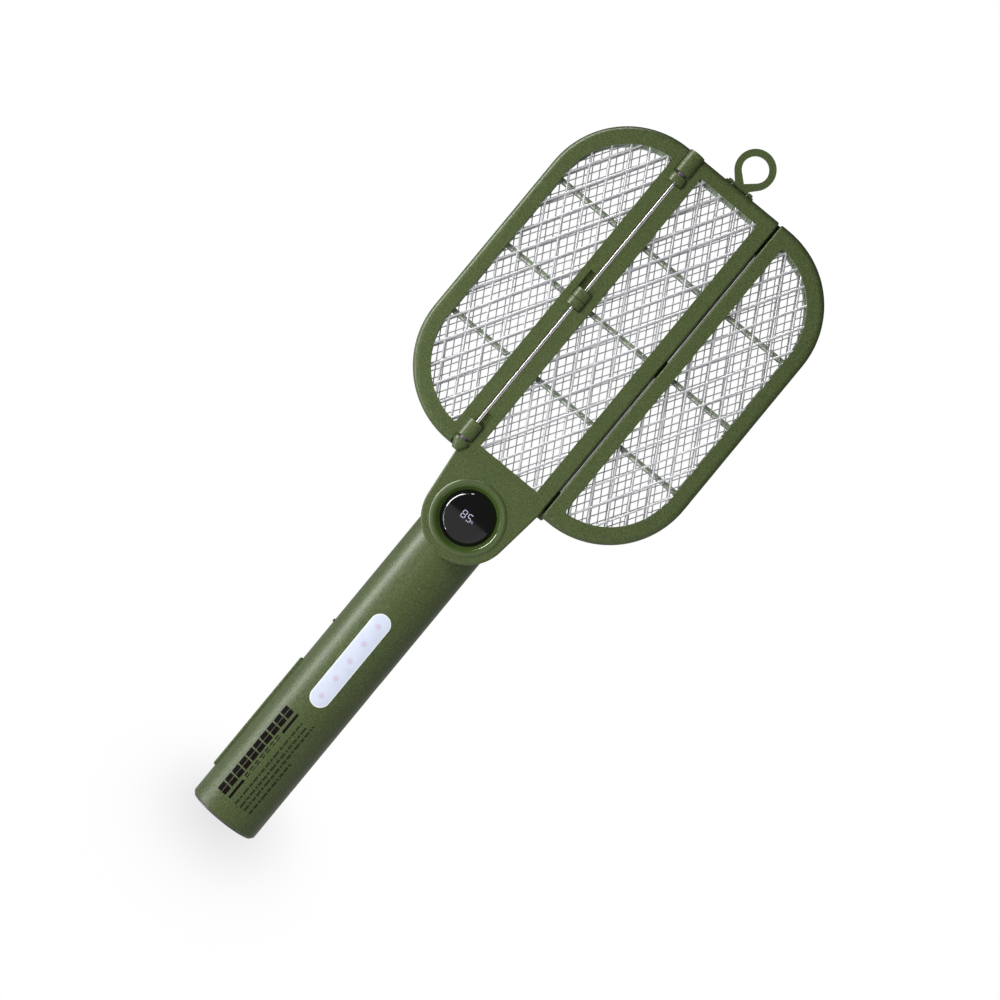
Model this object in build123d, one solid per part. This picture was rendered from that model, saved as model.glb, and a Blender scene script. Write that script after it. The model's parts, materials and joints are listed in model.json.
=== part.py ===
from build123d import *
import math
import os

# Foldable electric fly swatter with a three-panel head.
# The handle stands along Z on its flat end cap, whose centre is the origin.
# The front of the swatter looks toward -Y, and +X is to the right of someone facing it.
# The head turns about an axis along Y at the top of the handle. The left wing folds over
# the front of the centre panel and the right wing folds behind it.

# ---- driving dimensions, mm ----------------------------------------------------------
GAP = 0.1                  # assembly gap between pieces that do not move
MOVE_GAP = 0.3             # gap around pieces that move

HANDLE_R = 20.0
HANDLE_WALL = 2.2
HANDLE_LOW_Z = 0.6         # lower rim of the shells, above the foot of the end cap
HANDLE_RIM_FILLET = 1.4
PIVOT_Z = 201.8            # height of the head's turning axis

HEAD_T = 12.0              # thickness of every head panel
FOLD_GAP = 1.0             # space between two folded panels
TUBE_CLEARANCE = 0.6       # space between the rear folded wing and the handle
HEAD_BACK_Y = -(HANDLE_R + TUBE_CLEARANCE + HEAD_T + FOLD_GAP)
HEAD_FRONT_Y = HEAD_BACK_Y - HEAD_T
HEAD_MID_Y = (HEAD_FRONT_Y + HEAD_BACK_Y) / 2

PANEL_HALF_W = 26.75
PANEL_TOP_Z = 418.3
NECK_Z = 224.4             # where the centre panel starts to narrow to its round end
ROUND_END_R = 23.9
WINDOW_HALF_W = 18.5
WINDOW_LOW_Z = 234.2
WINDOW_TOP_Z = 409.8

HINGE_X = 27.45
HINGE_PROUD = 0.5          # hinge axis in front of the panel face
HINGE_LEFT_Y = HEAD_FRONT_Y - HINGE_PROUD
WING_IN_X = 28.15
WING_OUT_X = 82.0
WING_LOW_Z = 225.9
WING_CORNER_R = 48.7
WING_WINDOW = (36.0, 73.2, 235.2, 408.9)   # inner x, outer x, low z, high z
WING_WINDOW_CORNER_R = 39.9
WING_WINDOW_INNER_R = 2.0
EDGE_FILLET = 3.4
HINGE_EDGE_FILLET = 1.1

KNUCKLE_R = 4.45
ROD_R = 0.6
BUSH_R = 2.1
RUNNING = 0.05
PANEL_KNUCKLES = ((405.2, 418.0), (322.7, 328.0), (224.6, 230.9))
WING_KNUCKLES = ((398.9, 403.4), (317.9, 322.4), (232.4, 242.0))
WING_POCKETS = ((404.9, 420.0), (322.4, 338.7), (224.0, 231.2))
PANEL_POCKETS = ((398.6, 403.7), (317.6, 322.7), (232.1, 249.6))
CONE_TIP_R = 2.1
CONE_Z = 4.4               # length of the tapered end of the lowest knuckle
BUSH_SPANS = ((401.6, 407.0), (229.0, 234.3))
ROD_SPAN = (226.5, 416.5)

LIP = 0.9                  # thickness of the frame lips over the outer grilles
GRILLE_T = 0.8
SEAT = 3.0                 # how far the grilles reach under the frame
BAR_Z = (279.2, 322.35, 365.5)
BAR_H = 2.3
BAR_FILLET = 0.9
BAR_LIP = 0.5
RAIL_INSET = 0.8           # how far the rear spacer shows under the window's upper edge
COARSE = (11.1, 19.22, 1.1, 360.6)   # cell width, cell height, strand width, level of a crossing
FINE = (4.52, 7.32, 0.6, 399.5)

BEZEL_R = 19.85
BEZEL_BORE_R = 14.65
BEZEL_SEAT_Y = HEAD_FRONT_Y + 2.4
BEZEL_RIM_R = 18.4         # the rim's crest, where the inner rounding starts
BEZEL_ROUND_R = 3.1
BEZEL_TILT = math.radians(55)
BEZEL_PROUD = 0.7
BEZEL_STEPS = 8
LENS_R = 14.45
LENS_FLAT_R = 10.3
LENS_SHOULDER_R = 3.2      # rounding from the flat centre to the sloping flank
LENS_TILT = math.radians(41)
LENS_EDGE_TILT = math.radians(50)
CAVITY_R = 17.0

TURRET_R = 17.5
SHAFT_R = 8.0
PAD_Y = -13.0              # inner face of the bearing pad behind the turret
PAD_R = 15.0
TURRET_SCREW_OFFSET = 12.8
STOP_RADIUS = 12.6
STOP_PIN_R = 1.2

TRIGGER_Z = (18.2, 90.0)
TRIGGER_HALF_W = 4.0
TRIGGER_X = -21.3
BUTTON_Z = 115.9
USB_Z = 101.0
LED_Z = (128.5, 117.05, 105.6, 94.15, 82.7)
DIFFUSER = (5.65, 76.6, 136.2)         # half width, low z, high z
POSTS = ((-13.2, 13.0), (13.2, 13.0), (-11.5, 188.0), (11.5, 188.0))

RING_Z = 432.0
RING_R = 10.7
RING_HOLE_R = 7.1
RING_T = 2.2
RING_AXIS_Z = 419.7
RING_FOOT_HALF_W = 4.7
RING_FOOT_TOP_Z = 421.3    # straight sides of the foot end here, clear of the tab
RING_HOLE_TIP_Z = 422.5
TAB_HALF_T = 1.35
TAB_TIERS = ((8.8, 419.5), (7.7, 420.7))   # half width and top of each tier

CELL_R = 9.2
CELL_Y = 4.5
CELL_Z = (11.5, 76.5)
BOARD_FRONT_Y = 1.6
BOARD_T = 1.6

TOUCH = 0.01
FAR = 500.0


# ---- small helpers ---------------------------------------------------------------------
def block(x0, x1, y0, y1, z0, z1):
    centre = Pos((x0 + x1) / 2, (y0 + y1) / 2, (z0 + z1) / 2)
    return centre * Box(x1 - x0, y1 - y0, z1 - z0)


def rod_x(radius, x0, x1, y, z):
    return Pos((x0 + x1) / 2, y, z) * Rot(0, 90, 0) * Cylinder(radius, x1 - x0)


def rod_y(radius, y0, y1, x, z):
    return Pos(x, (y0 + y1) / 2, z) * Rot(90, 0, 0) * Cylinder(radius, y1 - y0)


def rod_z(radius, z0, z1, x=0.0, y=0.0):
    return Pos(x, y, (z0 + z1) / 2) * Cylinder(radius, z1 - z0)


def plate(outline, y_front, y_back):
    """Extrudes an outline drawn in X and Z from y_back forward to y_front."""
    plane = Plane(origin=(0, y_back, 0), x_dir=(1, 0, 0), z_dir=(0, -1, 0))
    return extrude(plane * outline, amount=y_back - y_front)


def rectangle(x0, x1, z0, z1):
    return Pos((x0 + x1) / 2, (z0 + z1) / 2) * Rectangle(x1 - x0, z1 - z0)


def lathe_y(points, x, z):
    """Turns a closed profile of (radius, y) points about an axis along Y at (x, z)."""
    profile = make_face(Polyline(*points, close=True))
    upright = revolve(profile, Axis.Y)
    return Pos(x, 0, z) * upright


def to_right(shape):
    """The right wing and hinge are the left ones turned half a turn about the head's middle."""
    return Pos(0, HEAD_MID_Y, 0) * Rot(0, 0, 180) * Pos(0, -HEAD_MID_Y, 0) * shape


def write(name, shape):
    export_step(shape, f"parts/{name}.step")


def group(shapes):
    return Compound(children=[part for shape in shapes for part in shape.solids()])


# ---- outlines of the head ----------------------------------------------------------------
def wing_outline(inner_x, outer_x, low_z, high_z, outer_r, inner_r=0.0):
    """Left wing outline: large corners on the outer side, small or sharp ones at the hinge."""
    root_x = min(inner_x, outer_x - outer_r - 1.0)
    outline = rectangle(-outer_x, -root_x, low_z, high_z)
    outer = outline.vertices().filter_by(lambda v: abs(v.X + outer_x) < TOUCH)
    outline = fillet(outer, outer_r)
    hinge_side = rectangle(-outer_x - 10, -inner_x, low_z, high_z)
    if inner_r:
        inner = hinge_side.vertices().filter_by(lambda v: abs(v.X + inner_x) < TOUCH)
        hinge_side = fillet(inner, inner_r)
    return outline & hinge_side


def wing_window(grow=0.0):
    inner_x, outer_x, low_z, high_z = WING_WINDOW
    return wing_outline(inner_x - grow, outer_x + grow, low_z - grow, high_z + grow,
                        WING_WINDOW_CORNER_R + grow, WING_WINDOW_INNER_R)


def panel_window(grow=0.0):
    return rectangle(-WINDOW_HALF_W - grow, WINDOW_HALF_W + grow,
                     WINDOW_LOW_Z - grow, WINDOW_TOP_Z + grow)


def panel_outline():
    rise = NECK_Z - PIVOT_Z
    reach = math.hypot(PANEL_HALF_W, rise)
    angle = math.atan2(rise, PANEL_HALF_W) - math.acos(ROUND_END_R / reach)
    tangent_x = ROUND_END_R * math.cos(angle)
    tangent_z = PIVOT_Z + ROUND_END_R * math.sin(angle)
    neck = make_face(Polyline(
        (-PANEL_HALF_W, NECK_Z), (-tangent_x, tangent_z),
        (tangent_x, tangent_z), (PANEL_HALF_W, NECK_Z), close=True))
    upper = rectangle(-PANEL_HALF_W, PANEL_HALF_W, NECK_Z, PANEL_TOP_Z)
    return upper + neck + Pos(0, PIVOT_Z) * Circle(ROUND_END_R)


# ---- grilles -------------------------------------------------------------------------------
def clip(polygon, boundary):
    """Keeps the part of a convex polygon inside a convex, anticlockwise boundary."""
    for (ax, az), (bx, bz) in zip(boundary, boundary[1:] + boundary[:1]):
        kept = []
        for (px, pz), (qx, qz) in zip(polygon, polygon[1:] + polygon[:1]):
            side_p = (bx - ax) * (pz - az) - (bz - az) * (px - ax)
            side_q = (bx - ax) * (qz - az) - (bz - az) * (qx - ax)
            if side_p >= 0:
                kept.append((px, pz))
            if side_p * side_q < 0:
                share = side_p / (side_p - side_q)
                kept.append((px + share * (qx - px), pz + share * (qz - pz)))
        polygon = kept
        if len(polygon) < 3:
            return []
    return polygon


def polygon_area(points):
    pairs = zip(points, points[1:] + points[:1])
    return sum(px * qz - qx * pz for (px, pz), (qx, qz) in pairs) / 2


def tidy_polygon(points):
    """Drops corners that lie on top of the one before."""
    kept = []
    for point in points:
        if not kept or math.dist(point, kept[-1]) > 0.02:
            kept.append(point)
    if len(kept) > 1 and math.dist(kept[0], kept[-1]) <= 0.02:
        kept.pop()
    return kept


def outline_points(outline, steps=10):
    """Corner points of an outline, anticlockwise, with its arcs cut into short chords."""
    points = []
    for edge in outline.wire().order_edges():
        count = steps if edge.geom_type == GeomType.CIRCLE else 1
        points += [edge.position_at(i / count) for i in range(count)]
    corners = [(p.X, p.Y) for p in points]
    return corners if polygon_area(corners) > 0 else corners[::-1]


def grille(outline, border, weave, y_front, thickness):
    """A flat sheet with diamond holes, solid along the border that the frame holds."""
    cell_w, cell_h, strand, level = weave
    slant = strand / 2 / math.sin(math.atan2(cell_h, cell_w))
    half_w = cell_w / 2 - slant
    half_h = half_w * cell_h / cell_w
    boundary = outline_points(border)
    low_x = min(x for x, z in boundary)
    high_x = max(x for x, z in boundary)
    low_z = min(z for x, z in boundary)
    high_z = max(z for x, z in boundary)
    holes = []
    for row in range(math.floor(2 * (low_z - level) / cell_h), math.ceil(2 * (high_z - level) / cell_h) + 1):
        for column in range(math.floor(low_x / cell_w) - 1, math.ceil(high_x / cell_w) + 2):
            x = (column + (0.5 if row % 2 == 0 else 0.0)) * cell_w
            z = level + row * cell_h / 2
            diamond = [(x - half_w, z), (x, z - half_h), (x + half_w, z), (x, z + half_h)]
            hole = tidy_polygon(clip(diamond, boundary))
            if len(hole) > 2 and polygon_area(hole) > 0.4:
                holes.append(hole)
    plane = Plane(origin=(0, y_front + thickness, 0), x_dir=(1, 0, 0), z_dir=(0, -1, 0))
    wires = [Wire.make_polygon([plane.from_local_coords((x, z)) for x, z in hole]) for hole in holes]
    outer = plane.from_local_coords(outline.face()).outer_wire()
    return extrude(Face(outer, wires), amount=thickness, dir=(0, -1, 0))


def front_spacer(outline, window, y_front, y_back):
    """A flat frame that holds the front and the live grille apart."""
    frame = plate(outline, y_front, y_back) - plate(window, y_front - 1, y_back + 1)
    return frame.solids()[0]


def rear_spacer(outline, window, y_front, y_back):
    """A ladder frame with rounded cross bars, each with a small lip along its lower rear edge."""
    opening = Pos(0, -RAIL_INSET) * window
    frame = plate(outline, y_front, y_back) - plate(window & opening, y_front - 1, y_back + 1)
    bounds = window.bounding_box()
    x0 = bounds.min.X - 1
    x1 = bounds.max.X + 1
    for z in BAR_Z:
        bar = block(x0, x1, y_front, y_back, z - BAR_H / 2, z + BAR_H / 2)
        long_edges = bar.edges().filter_by(Axis.X)
        bar = fillet(long_edges.filter_by(lambda e: abs(e.center().Y - y_front) < TOUCH), BAR_FILLET)
        lip = block(x0, x1, y_back - BAR_LIP, y_back, z - BAR_H / 2 - BAR_LIP, z)
        frame += (bar + lip) & plate(outline, y_front, y_back)
    return frame.solids()[0]


# ---- the centre panel and the wings ------------------------------------------------------
def knuckle(z0, z1):
    return rod_z(KNUCKLE_R, z0, z1, -HINGE_X, HINGE_LEFT_Y)


def cone_knuckle(z0, z1):
    straight = rod_z(KNUCKLE_R, z0 + CONE_Z, z1, -HINGE_X, HINGE_LEFT_Y)
    taper = Pos(-HINGE_X, HINGE_LEFT_Y, z0 + CONE_Z / 2) * Cone(CONE_TIP_R, KNUCKLE_R, CONE_Z)
    return straight + taper


def pockets(spans):
    cutters = [rod_z(KNUCKLE_R + MOVE_GAP, z0, z1, -HINGE_X, HINGE_LEFT_Y) for z0, z1 in spans]
    return cutters[0] + cutters[1:]


def hinge_bores(rod_bore_r, bush_bore_r):
    bore = rod_z(rod_bore_r, PIVOT_Z, FAR, -HINGE_X, HINGE_LEFT_Y)
    for z0, z1 in BUSH_SPANS:
        bore += rod_z(bush_bore_r, z0 - GAP, z1 + GAP, -HINGE_X, HINGE_LEFT_Y)
    return bore


def soften(plate_body, outer_edges, hinge_edges):
    plate_body = fillet(outer_edges(plate_body), EDGE_FILLET)
    return fillet(hinge_edges(plate_body), HINGE_EDGE_FILLET)


def face_edges(body):
    faces = body.edges().filter_by(
        lambda e: min(abs(e.center().Y - HEAD_FRONT_Y), abs(e.center().Y - HEAD_BACK_Y)) < TOUCH
        and abs((e @ 0).Y - (e @ 1).Y) < TOUCH)
    return faces


def wing_body():
    body = plate(wing_outline(WING_IN_X, WING_OUT_X, WING_LOW_Z, PANEL_TOP_Z, WING_CORNER_R),
                 HEAD_FRONT_Y, HEAD_BACK_Y)
    return soften(
        body,
        lambda b: face_edges(b).filter_by(lambda e: abs(e.center().X + WING_IN_X) > TOUCH),
        lambda b: face_edges(b).filter_by(lambda e: abs(e.center().X + WING_IN_X) < TOUCH))


def panel_body():
    body = plate(panel_outline(), HEAD_FRONT_Y, HEAD_BACK_Y)
    top = face_edges(body).filter_by(lambda e: abs(e.center().Z - PANEL_TOP_Z) < TOUCH)
    body = fillet(top, EDGE_FILLET)
    rest = face_edges(body).filter_by(lambda e: e.center().Z < PANEL_TOP_Z - EDGE_FILLET - 1)
    return fillet(rest, HINGE_EDGE_FILLET)


def front_half(body):
    return body & block(-FAR, FAR, -FAR, HEAD_MID_Y, -FAR, FAR)


def rear_half(body):
    return body & block(-FAR, FAR, HEAD_MID_Y, FAR, -FAR, FAR)


def grille_seat(window, seat):
    """The open window plus the wider pocket that the grilles and spacers sit in."""
    through = plate(window, HEAD_FRONT_Y - 1, HEAD_BACK_Y + 1)
    return through + plate(seat, HEAD_FRONT_Y + LIP, HEAD_BACK_Y - LIP)


def wing_shells():
    body = wing_body() - pockets(WING_POCKETS)
    for z0, z1 in WING_KNUCKLES:
        body += knuckle(z0, z1)
    body -= hinge_bores(ROD_R + RUNNING, BUSH_R + RUNNING)
    body -= grille_seat(wing_window(), wing_window(SEAT))
    return front_half(body).solids()[0], rear_half(body).solids()[0]


def centre_knuckles(body):
    body -= pockets(PANEL_POCKETS)
    for z0, z1 in PANEL_KNUCKLES[:2]:
        body += knuckle(z0, z1)
    body += cone_knuckle(*PANEL_KNUCKLES[2])
    return body - hinge_bores(ROD_R + 0.02, BUSH_R + 0.02)


def head_screw_places():
    return [(-22.0, 228.4), (22.0, 228.4), (-14.6, PIVOT_Z - 14.6), (14.6, PIVOT_Z - 14.6)]


def ring_tab():
    """Two-tier tab on top of the panel, open in the middle for the foot of the ring."""
    tab = None
    for half_w, top in TAB_TIERS:
        tier = rectangle(-half_w, half_w, PANEL_TOP_Z - 0.5, top)
        corners = tier.vertices().filter_by(lambda v: abs(v.Y - top) < TOUCH)
        tier = plate(chamfer(corners, 0.5), HEAD_MID_Y - TAB_HALF_T, HEAD_MID_Y + TAB_HALF_T)
        tab = tier if tab is None else tab + tier
    half_gap = RING_FOOT_HALF_W + 0.25
    return tab - block(-half_gap, half_gap, HEAD_MID_Y - 9, HEAD_MID_Y + 9, PANEL_TOP_Z, FAR)


def centre_shells():
    body = centre_knuckles(panel_body())
    body = to_right(centre_knuckles(to_right(body)))
    body -= grille_seat(panel_window(), panel_window(SEAT))
    body += ring_tab()
    body -= rod_x(0.62, -7.0, 7.0, HEAD_MID_Y, RING_AXIS_Z)
    body -= rod_y(CAVITY_R, BEZEL_SEAT_Y - 1, HEAD_BACK_Y - 2, 0, PIVOT_Z)
    body -= rod_y(BEZEL_R + GAP, HEAD_FRONT_Y - 1, BEZEL_SEAT_Y, 0, PIVOT_Z)
    body -= rod_y(SHAFT_R + 0.05, HEAD_BACK_Y - 3, HEAD_BACK_Y + 1, 0, PIVOT_Z)
    stop_pin = rod_y(STOP_PIN_R, HEAD_BACK_Y - 1, HEAD_BACK_Y + 1.7, -STOP_RADIUS, PIVOT_Z)
    body += stop_pin
    for x, z in head_screw_places():
        body -= rod_y(1.02, HEAD_BACK_Y - 9.0, HEAD_BACK_Y, x, z)
        body -= rod_y(2.1, HEAD_BACK_Y - 1.8, HEAD_BACK_Y + 1, x, z)
    return front_half(body).solids()[0], rear_half(body).solids()[0]


def cross_screw(x, z, head_y, head_r, head_h, shank_r, length):
    """A pan-head screw driven toward -Y, its head's bearing face at head_y."""
    head = rod_y(head_r, head_y, head_y + head_h, x, z)
    shank = rod_y(shank_r, head_y - length, head_y, x, z)
    slot_y = head_y + head_h * 0.5
    slot_end_y = head_y + head_h + 1
    reach = head_r * 0.6
    slot_a = block(x - reach, x + reach, slot_y, slot_end_y, z - 0.2, z + 0.2)
    slot_b = block(x - 0.2, x + 0.2, slot_y, slot_end_y, z - reach, z + reach)
    return head + shank - slot_a - slot_b


def stack_levels():
    """Depths of the layers inside a panel, front to back."""
    front_grille = HEAD_FRONT_Y + LIP
    live_grille = HEAD_MID_Y - GRILLE_T / 2
    rear_grille = HEAD_BACK_Y - LIP - GRILLE_T
    return front_grille, live_grille, rear_grille


def write_layers(prefix, window, seat, border):
    """Three grilles and two spacers of one panel."""
    front_y, live_y, rear_y = stack_levels()
    layers = {
        "front_grille": grille(seat, border, COARSE, front_y, GRILLE_T),
        "live_grille": grille(seat, border, FINE, live_y, GRILLE_T),
        "rear_grille": grille(seat, border, COARSE, rear_y, GRILLE_T),
        "front_spacer": front_spacer(seat, window, front_y + GRILLE_T, live_y),
        "rear_spacer": rear_spacer(seat, window, live_y + GRILLE_T, rear_y),
    }
    return {f"{prefix}_{name}": shape for name, shape in layers.items()}


def write_head():
    front, rear = centre_shells()
    write("head_front_shell", front)
    write("head_rear_shell", rear)
    tight = SEAT - GAP
    panel = write_layers("head", panel_window(), panel_window(tight), panel_window(SEAT - 1.4))
    wing = write_layers("wing", wing_window(), wing_window(tight), wing_window(SEAT - 1.4))
    for name, shape in panel.items():
        write(name, shape)
    for name, shape in wing.items():
        write("left_" + name, shape)
        write("right_" + name, mirror(shape, about=Plane.YZ))

    hinge_front, plain_rear = wing_shells()
    write("left_wing_front_shell", hinge_front)
    write("left_wing_rear_shell", plain_rear)
    write("right_wing_rear_shell", to_right(hinge_front))
    write("right_wing_front_shell", to_right(plain_rear))

    rod = rod_z(ROD_R, *ROD_SPAN, -HINGE_X, HINGE_LEFT_Y)
    write("hinge_rods", group([rod, to_right(rod)]))
    bushes = []
    for z0, z1 in BUSH_SPANS:
        bush = rod_z(BUSH_R, z0, z1, -HINGE_X, HINGE_LEFT_Y)
        bush -= rod_z(ROD_R + 0.02, z0 - 1, z1 + 1, -HINGE_X, HINGE_LEFT_Y)
        bushes += [bush, to_right(bush)]
    write("hinge_bushes", group(bushes))
    screws = [cross_screw(x, z, HEAD_BACK_Y - 1.8, 1.95, 1.3, 1.0, 6.8) for x, z in head_screw_places()]
    write("head_screws", group(screws))


def write_display():
    seat = BEZEL_SEAT_Y
    face = HEAD_FRONT_Y
    bezel = [(BEZEL_BORE_R, seat), (BEZEL_R, seat), (BEZEL_R, face), (19.3, face - 0.5)]
    for i in range(BEZEL_STEPS + 1):
        tilt = BEZEL_TILT * i / BEZEL_STEPS
        bezel.append((BEZEL_RIM_R - BEZEL_ROUND_R * math.sin(tilt),
                      face - BEZEL_PROUD + BEZEL_ROUND_R * (1 - math.cos(tilt))))
    bezel.append((BEZEL_BORE_R, face + 2.0))
    write("display_bezel", lathe_y(bezel, 0, PIVOT_Z))
    edge_y = seat - 0.6
    shoulder_end = (LENS_FLAT_R + LENS_SHOULDER_R * math.sin(LENS_TILT),
                    LENS_SHOULDER_R * (1 - math.cos(LENS_TILT)))
    flank_radius = (LENS_R - shoulder_end[0]) / (math.sin(LENS_EDGE_TILT) - math.sin(LENS_TILT))
    steps = 8
    dome = [(0.0, 0.0)]
    for i in range(steps + 1):
        tilt = LENS_TILT * i / steps
        dome.append((LENS_FLAT_R + LENS_SHOULDER_R * math.sin(tilt), LENS_SHOULDER_R * (1 - math.cos(tilt))))
    for i in range(1, steps + 1):
        tilt = LENS_TILT + (LENS_EDGE_TILT - LENS_TILT) * i / steps
        dome.append((shoulder_end[0] + flank_radius * (math.sin(tilt) - math.sin(LENS_TILT)),
                     shoulder_end[1] + flank_radius * (math.cos(LENS_TILT) - math.cos(tilt))))
    drop = dome[-1][1]
    dome = [(radius, edge_y - drop + depth) for radius, depth in dome]
    flange = [(LENS_R, seat + 0.02), (16.6, seat + 0.02), (16.6, seat + 1.0), (0, seat + 1.0)]
    write("display_lens", lathe_y(dome + flange, 0, PIVOT_Z))
    write("display_board", rod_y(15.5, seat + 1.1, seat + 2.3, 0, PIVOT_Z))


def write_pivot():
    floor = HEAD_BACK_Y - 2.0
    shaft = rod_y(SHAFT_R, floor, -10.2, 0, PIVOT_Z) + rod_y(12.0, floor - 1.5, floor, 0, PIVOT_Z)
    shaft -= rod_y(3.5, floor - 3, 0, 0, PIVOT_Z)
    groove = rod_y(SHAFT_R + 1, PAD_Y + 0.55, PAD_Y + 1.65, 0, PIVOT_Z)
    groove -= rod_y(7.3, PAD_Y, PAD_Y + 2, 0, PIVOT_Z)
    write("pivot_shaft", (shaft - groove).solids()[0])
    ring = rod_y(10.8, PAD_Y + 0.6, PAD_Y + 1.6, 0, PIVOT_Z) - rod_y(7.35, PAD_Y, PAD_Y + 2, 0, PIVOT_Z)
    mouth = block(-2.2, 2.2, PAD_Y, PAD_Y + 2, PIVOT_Z, PIVOT_Z + 12)
    write("pivot_retainer", (ring - mouth).solids()[0])
    washer = rod_y(10.8, PAD_Y + 0.02, PAD_Y + 0.5, 0, PIVOT_Z)
    washer -= rod_y(SHAFT_R + 0.4, PAD_Y - 1, PAD_Y + 2, 0, PIVOT_Z)
    write("friction_washer", washer)

    top = HEAD_BACK_Y + MOVE_GAP
    turret = rod_y(TURRET_R, top, -HANDLE_R * 0.4, 0, PIVOT_Z)
    turret -= rod_z(HANDLE_R + 0.02, 0, FAR)
    turret -= rod_y(SHAFT_R + 0.06, top - 1, 0, 0, PIVOT_Z)
    track = rod_y(STOP_RADIUS + 1.6, top - 1, top + 2.0, 0, PIVOT_Z)
    track -= rod_y(STOP_RADIUS - 1.6, top - 2, top + 3.0, 0, PIVOT_Z)
    upper = block(-FAR, FAR, -FAR, FAR, PIVOT_Z - 0.1, FAR)
    ends = rod_y(1.6, top - 1, top + 2.0, -STOP_RADIUS, PIVOT_Z)
    ends += rod_y(1.6, top - 1, top + 2.0, STOP_RADIUS, PIVOT_Z)
    turret -= (track & upper) + ends
    for dz in (-TURRET_SCREW_OFFSET, TURRET_SCREW_OFFSET):
        turret -= rod_y(1.05, -26.2, -15, 0, PIVOT_Z + dz)
    write("pivot_turret", turret.solids()[0])
    screws = []
    for dz in (-TURRET_SCREW_OFFSET, TURRET_SCREW_OFFSET):
        screws.append(cross_screw(0, PIVOT_Z + dz, PAD_Y - 1.4, 1.7, 1.2, 1.0, 10.6))
    write("turret_screws", group(screws))


# ---- the handle ---------------------------------------------------------------------------
def handle_solid(radius, low_z):
    """A tube body whose top is rounded about the pivot axis."""
    lower = rod_z(radius, low_z, PIVOT_Z)
    cap = rod_z(radius, PIVOT_Z - 1, PIVOT_Z + radius) & rod_y(radius, -HANDLE_R, HANDLE_R, 0, PIVOT_Z)
    return lower + cap


def stadium(half_w, low_z, high_z):
    body = rectangle(-half_w, half_w, low_z + half_w, high_z - half_w)
    return body + Pos(0, low_z + half_w) * Circle(half_w) + Pos(0, high_z - half_w) * Circle(half_w)


def port_cutter(grow):
    body = block(15.0, 25.0, -1.6 - grow, 1.6 + grow, USB_Z - 4.47 - grow, USB_Z + 4.47 + grow)
    return fillet(body.edges().filter_by(Axis.X), 1.5 + grow)


def trigger_block(x0, x1, grow, end_round):
    half_w = TRIGGER_HALF_W + grow
    body = block(x0, x1, -half_w, half_w, TRIGGER_Z[0] - grow, TRIGGER_Z[1] + grow)
    return fillet(body.edges().filter_by(Axis.X), end_round)


def handle_shells():
    inner_r = HANDLE_R - HANDLE_WALL
    outer = handle_solid(HANDLE_R, HANDLE_LOW_Z)
    rim = outer.edges().filter_by(GeomType.CIRCLE).sort_by(Axis.Z)[:1]
    outer = fillet(rim, HANDLE_RIM_FILLET)
    shell = outer - handle_solid(inner_r, HANDLE_LOW_Z - 5)
    shell += rod_y(PAD_R, -HANDLE_R + 1.5, PAD_Y, 0, PIVOT_Z) & handle_solid(HANDLE_R - 1, 0)
    shell -= rod_y(SHAFT_R + 0.6, -HANDLE_R - 1, PAD_Y + 1, 0, PIVOT_Z)
    for dz in (-TURRET_SCREW_OFFSET, TURRET_SCREW_OFFSET):
        shell -= rod_y(1.05, -HANDLE_R - 1, PAD_Y, 0, PIVOT_Z + dz)
        shell -= rod_y(1.8, PAD_Y - 1.4, PAD_Y + 1, 0, PIVOT_Z + dz)
    inside = handle_solid(HANDLE_R - 0.5, HANDLE_LOW_Z)
    for x, z in POSTS:
        shell += rod_y(2.6, -HANDLE_R, 0, x, z) & inside
        shell += rod_y(3.3, 0, HANDLE_R, x, z) & inside
    for x, z in POSTS:
        shell -= rod_y(1.27, -9.0, 9.0, x, z)
        shell -= rod_y(2.3, 7.0, HANDLE_R + 1, x, z)
    shell -= plate(stadium(DIFFUSER[0] + GAP, DIFFUSER[1] - GAP, DIFFUSER[2] + GAP), -HANDLE_R - 1, -5)
    shell -= port_cutter(0.3)
    shell -= trigger_block(-25.0, -15.0, MOVE_GAP, 2.0 + MOVE_GAP)
    shell -= rod_x(1.1, -25.0, -15.0, 0, BUTTON_Z)
    front = shell & block(-FAR, FAR, -FAR, 0, -FAR, FAR)
    rear = shell & block(-FAR, FAR, 0, FAR, -FAR, FAR)
    return front.solids().sort_by(SortBy.VOLUME)[-1], rear.solids().sort_by(SortBy.VOLUME)[-1]


def write_handle():
    front, rear = handle_shells()
    write("handle_front_shell", front)
    write("handle_rear_shell", rear)
    foot_r = HANDLE_R - 1.2
    plug_r = HANDLE_R - HANDLE_WALL - GAP
    cap = rod_z(foot_r, 0, HANDLE_LOW_Z - 0.02) + rod_z(plug_r, 0.2, 5.4) - rod_z(plug_r - 2, 2.4, 6)
    write("handle_end_cap", cap)
    screws = [cross_screw(x, z, 7.0, 2.15, 1.9, 1.25, 15.6) for x, z in POSTS]
    write("handle_screws", group(screws))

    lens = plate(stadium(*DIFFUSER), -HANDLE_R - 1, -5) & rod_z(HANDLE_R - 0.08, 0, FAR)
    lens -= rod_z(HANDLE_R - HANDLE_WALL - 0.4, 0, FAR)
    write("light_diffuser", lens.solids().sort_by(Axis.Y)[0])
    write("light_board", block(-5.0, 5.0, -15.4, -14.4, DIFFUSER[1] - 1, DIFFUSER[2] + 1))
    leds = [block(-1.5, 1.5, -16.3, -15.4, z - 1.5, z + 1.5) for z in LED_Z]
    write("light_leds", group(leds))


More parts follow.
